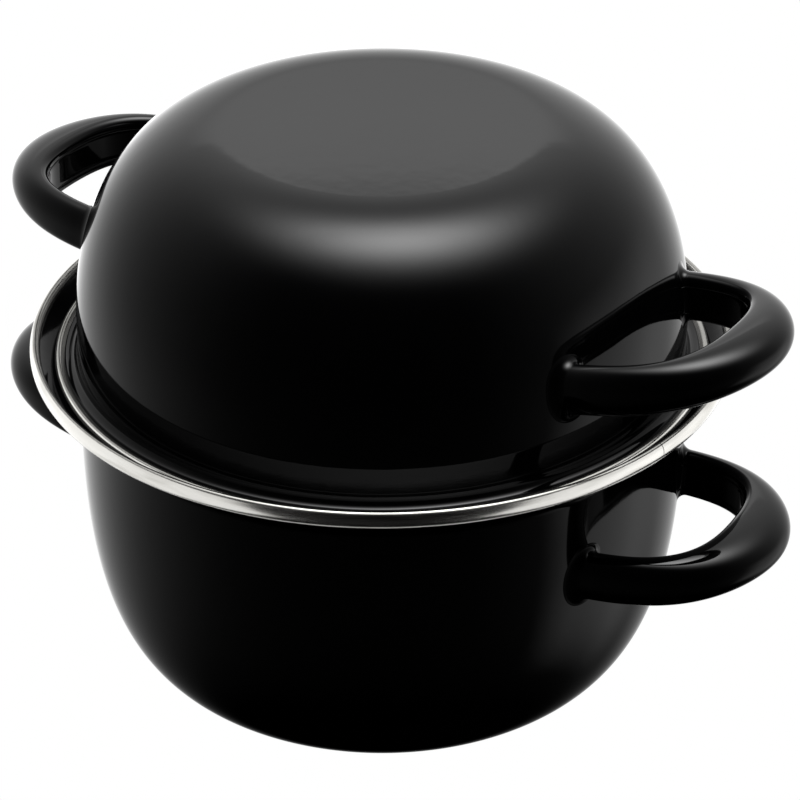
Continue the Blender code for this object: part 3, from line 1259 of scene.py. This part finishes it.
@dataclass(frozen=True)
class Glow:
    """Round soft light in the surround, in degrees.

    Args:
        name: What it is.
        bearing: Azimuth of its middle.
        height: Elevation of its middle.
        reach: Angle at which it has dropped to a third.
        power: 2 for a bell, 1 for a peak with a long tail.
        strength: Radiance in the middle, 1 for white.
        low: Elevation at which its lower part is half faded.
        soft_low: Half the height of that fade.
    """

    name: str
    bearing: float
    height: float
    reach: float
    power: float
    strength: float
    low: float = -90.0
    soft_low: float = 0.1

    def draw(self, sketch: Sketch, place: SkyPlace) -> bpy.types.NodeSocket:
        """Adds its nodes.

        Args:
            sketch: The world's tree.
            place: Where the ray goes.

        Returns:
            Its radiance.
        """
        dot = sketch.add("ShaderNodeVectorMath", operation="DOT_PRODUCT")
        sketch.feed(dot.inputs[0], place.direction)
        dot.inputs[1].default_value = sky_direction(math.radians(self.bearing), math.radians(self.height))
        away = sketch.calc("DEGREES", sketch.calc("ARCCOSINE", dot.outputs["Value"]))
        share = sketch.calc("POWER", sketch.calc("DIVIDE", away, self.reach), self.power)
        bell = sketch.calc("EXPONENT", sketch.calc("MULTIPLY", share, -1.0))
        kept = sketch.fall(place.height, self.low + self.soft_low, self.low - self.soft_low)
        return sketch.calc("MULTIPLY", sketch.calc("MULTIPLY", bell, kept), self.strength)


@dataclass(frozen=True)
class Card:
    """Soft-edged rectangle in the surround, in degrees.

    Args:
        name: What it is.
        bearing: Azimuth of its middle.
        half_width: Half its width.
        soft_width: Half the width of its side fades.
        low: Lower edge.
        soft_low: Half the height of the lower fade.
        high: Upper edge.
        soft_high: Half the height of the upper fade.
        strength: Radiance, 1 for white.
    """

    name: str
    bearing: float
    half_width: float
    soft_width: float
    low: float
    soft_low: float
    high: float
    soft_high: float
    strength: float

    def draw(self, sketch: Sketch, place: SkyPlace) -> bpy.types.NodeSocket:
        """Adds its nodes.

        Args:
            sketch: The world's tree.
            place: Where the ray goes.

        Returns:
            Its radiance.
        """
        aside = sketch.calc("ABSOLUTE", sketch.calc("SUBTRACT", place.bearing, self.bearing))
        width = sketch.fall(aside, self.half_width - self.soft_width, self.half_width + self.soft_width)
        under = sketch.fall(place.height, self.high - self.soft_high, self.high + self.soft_high)
        over = sketch.fall(place.height, self.low + self.soft_low, self.low - self.soft_low)
        patch = sketch.calc("MULTIPLY", width, sketch.calc("MULTIPLY", under, over))
        return sketch.calc("MULTIPLY", patch, self.strength)


@dataclass(frozen=True)
class RimLight:
    """Area light that is set for the steel edges alone, as a reflector card is in a studio.

    Args:
        name: What it is.
        bearing: Azimuth of its middle in degrees, 0 behind the pot and 90 to the camera's right.
        height: Elevation of its middle in degrees.
        distance: From the middle of the rim.
        width: Its width.
        tall: Its height.
        radiance: Its brightness, 1 for white.
        shape: Blender's name of its shape.
    """

    name: str
    bearing: float
    height: float
    distance: float
    width: float
    tall: float
    radiance: float
    shape: str = "RECTANGLE"

    def build(self, aim: Vector, camera_bearing: float, only: bpy.types.Collection) -> None:
        """Makes the light.

        Args:
            aim: Point that it faces.
            camera_bearing: Azimuth from which the camera looks, in radians.
            only: Collection of what it lights.
        """
        data = bpy.data.lights.new(self.name, "AREA")
        data.shape = self.shape
        data.size, data.size_y = self.width, self.tall
        area = self.width * self.tall * (math.pi / 4 if self.shape == "ELLIPSE" else 1.0)
        data.energy = self.radiance * math.pi * area
        made = bpy.data.objects.new(self.name, data)
        bpy.context.scene.collection.objects.link(made)
        away = sky_direction(math.radians(self.bearing) - camera_bearing, math.radians(self.height))
        made.matrix_world = Matrix.Translation(aim + away * self.distance) @ away.to_track_quat(
            "Z", "Y").to_matrix().to_4x4()
        made.visible_camera = False
        made.light_linking.receiver_collection = only


@dataclass
class Studio:
    """White surround, soft overhead light, pale floor and camera.

    Args:
        camera_place: Where the camera stands.
        camera_bearing: Azimuth from which it looks, in radians.
        camera_pitch: How far it looks down, in radians.
        camera_yaw: Turn of the view to the right, in radians.
        camera_roll: Roll of the view, in radians.
        lens: Focal length on a 36 mm sensor, in millimetres.
        lights: Soft lights that the glaze reflects.
        rim_lights: Lights that only the steel edges see.
        floor_radius: Radius of the floor.
        white: Radiance of the background.
    """

    camera_place: tuple[float, float, float] = (0.4066, -0.7042, 0.5671)
    camera_bearing: float = math.radians(30.0)
    camera_pitch: float = 0.5347
    camera_yaw: float = 0.0067
    camera_roll: float = -0.0002
    lens: float = 135.0
    lights: tuple[Glow | Card, ...] = (
        Glow("overhead softbox", 23.0, 79.8, 19.5, 2.0, 5.9),
        Glow("white sweep", -5.6, -20.0, 23.8, 1.0, 2.5, low=-38.9, soft_low=25.0),
        Card("bright foot of the sweep", 0.0, 11.2, 9.4, 24.0, 3.1, 27.1, 0.7, 0.30),
        Card("haze of the white walls", 7.0, 72.0, 72.0, -35.5, 16.0, 70.0, 3.0, 0.27),
        Card("low card on the right", 84.0, 24.0, 12.0, -46.0, 8.0, 4.0, 12.0, 0.27),
    )
    rim_lights: tuple[RimLight, ...] = (
        RimLight("left_rim_card", -88.0, -8.0, 1.0, 2.6, 2.4, 1.1),
        RimLight("right_rim_card", 88.0, -8.0, 1.0, 2.6, 2.4, 1.1),
        RimLight("table_bounce", 0.0, -90.0, 0.1095, 0.252, 0.252, 0.6, "ELLIPSE"),
    )
    floor_radius: float = 6.0
    white: float = 1.0

    def world(self) -> None:
        """Lights the scene: plain white for the camera, soft lights for the glaze."""
        world = bpy.data.worlds.new("white_studio")
        bpy.context.scene.world = world
        world.use_nodes = True
        sketch = Sketch(world.node_tree)
        around = sketch.wired("ShaderNodeVectorRotate", {
            "Vector": sketch.add("ShaderNodeTexCoord").outputs["Generated"],
            "Angle": -self.camera_bearing}, rotation_type="Z_AXIS")
        parts = sketch.add("ShaderNodeSeparateXYZ")
        sketch.feed(parts.inputs[0], around.outputs[0])
        bearing = sketch.calc("DEGREES", sketch.calc("ARCTAN2", parts.outputs["X"], parts.outputs["Y"]))
        height = sketch.calc("DEGREES", sketch.calc("ARCSINE", parts.outputs["Z"]))
        place = SkyPlace(around.outputs[0], bearing, height)
        total: Any = 0.0
        for light in self.lights:
            total = sketch.calc("ADD", light.draw(sketch, place), total)
        seen = sketch.add("ShaderNodeLightPath").outputs["Is Camera Ray"]
        mix = sketch.add("ShaderNodeMix", data_type="FLOAT")
        sketch.feed(mix.inputs["Factor"], seen)
        sketch.feed(mix.inputs["A"], total)
        sketch.feed(mix.inputs["B"], self.white)
        shine = sketch.add("ShaderNodeBackground")
        sketch.feed(shine.inputs["Strength"], mix.outputs["Result"])
        shine.inputs["Color"].default_value = (1.0, 1.0, 1.0, 1.0)
        sketch.feed(sketch.add("ShaderNodeOutputWorld").inputs["Surface"], shine.outputs["Background"])

    def floor(self) -> None:
        """Makes the pale floor, bright to the camera and unseen by the glaze."""
        work = bmesh.new()
        bmesh.ops.create_circle(work, cap_ends=True, segments=96, radius=self.floor_radius)
        mesh = bpy.data.meshes.new("studio_floor")
        work.to_mesh(mesh)
        work.free()
        made = bpy.data.objects.new("studio_floor", mesh)
        bpy.context.scene.collection.objects.link(made)
        pale = bpy.data.materials.new("pale_floor")
        pale.use_nodes = True
        sketch = Sketch(pale.node_tree)
        shine = sketch.add("ShaderNodeEmission")
        shine.inputs["Color"].default_value = (1.0, 1.0, 1.0, 1.0)
        shine.inputs["Strength"].default_value = self.white
        sketch.feed(sketch.add("ShaderNodeOutputMaterial").inputs["Surface"], shine.outputs["Emission"])
        mesh.materials.append(pale)
        made.visible_glossy = False
        made.visible_diffuse = False
        made.visible_shadow = False

    def camera(self) -> None:
        """Makes the camera at the photograph's view."""
        data = bpy.data.cameras.new("studio_camera")
        data.sensor_width = 36.0
        data.lens = self.lens
        data.clip_start = 0.01
        data.clip_end = 50.0
        made = bpy.data.objects.new("studio_camera", data)
        bpy.context.scene.collection.objects.link(made)
        turn = Matrix.Rotation(self.camera_bearing, 3, "Z")
        flat = math.cos(self.camera_pitch)
        forward = turn @ Vector((math.sin(self.camera_yaw) * flat, math.cos(self.camera_yaw) * flat,
                                 -math.sin(self.camera_pitch)))
        aim = forward.to_track_quat("-Z", "Y").to_matrix() @ Matrix.Rotation(self.camera_roll, 3, "Z")
        made.matrix_world = Matrix.Translation(self.camera_place) @ aim.to_4x4()
        bpy.context.scene.camera = made

    def build(self, bands: list[bpy.types.Object], aim: Vector) -> None:
        """Sets up the whole studio.

        Args:
            bands: The steel bands, which have lights of their own.
            aim: Middle of the rim.
        """
        self.world()
        self.floor()
        self.camera()
        only = bpy.data.collections.new("steel_rim_only")
        for band in bands:
            only.objects.link(band)
        for light in self.rim_lights:
            light.build(aim, self.camera_bearing, only)
        bpy.context.scene.view_settings.view_transform = "Standard"


# Where the bands' joints and the handles are

RIM_JOINT_TURN = math.radians(-11.5)
LID_JOINT_TURN = math.radians(140.0)
LID_BAND_SIDES = 320
POT_HANDLE_DROP = 0.0410
LID_HANDLE_LIFT = 0.0257
POT_HANDLE_TILT = math.radians(5.3)
LID_HANDLE_TILTS = {Side.RIGHT: math.radians(11.9), Side.LEFT: math.radians(2.7)}


def main() -> None:
    """Builds the pot, the lid, their handles and the studio."""
    logging.basicConfig(level=logging.INFO, format="%(name)s: %(message)s")
    ripple, marks, grain = GlazeRipple(), HandlingMarks(), RingGrain()
    enamel = GlossEnamel("gloss_black_enamel", (0.0018, 0.0018, 0.0020), ripple=ripple,
                         marks=marks).material()
    steel = PolishedSteel("polished_rim_steel", (0.66, 0.65, 0.62), grain=grain).material()
    rim = RimFit()
    pot = PotBody(rim)
    lid = LidBody(rim)
    pot.build(enamel)
    fold = SteelBand.tree()
    bands = [
        SteelBand("rim_band", Body.POT, rim.edge, rolled_section(rim), RIM_JOINT_TURN).build(fold, steel),
        SteelBand("lid_band", Body.LID, lid.edge(), folded_section(rim), LID_JOINT_TURN,
                  segments=LID_BAND_SIDES).build(fold, steel)]
    lid.build(enamel)
    pot_wall, lid_wall = pot.outline(), lid.outline()
    pot_height, lid_height = rim.height - POT_HANDLE_DROP, rim.height + LID_HANDLE_LIFT
    for side in Side:
        LoopHandle(Body.POT, side, pot_wall, -1.0, pot.wall_radius, pot_height, POT_HANDLE_TILT).build(enamel)
    for side, tilt in LID_HANDLE_TILTS.items():
        LoopHandle(Body.LID, side, lid_wall, 1.0, lid.wall_radius, lid_height, tilt, lid.turn).build(enamel)
    Studio().build(bands, Vector((0.0, 0.0, rim.height)))


if __name__ == "__main__":
    main()
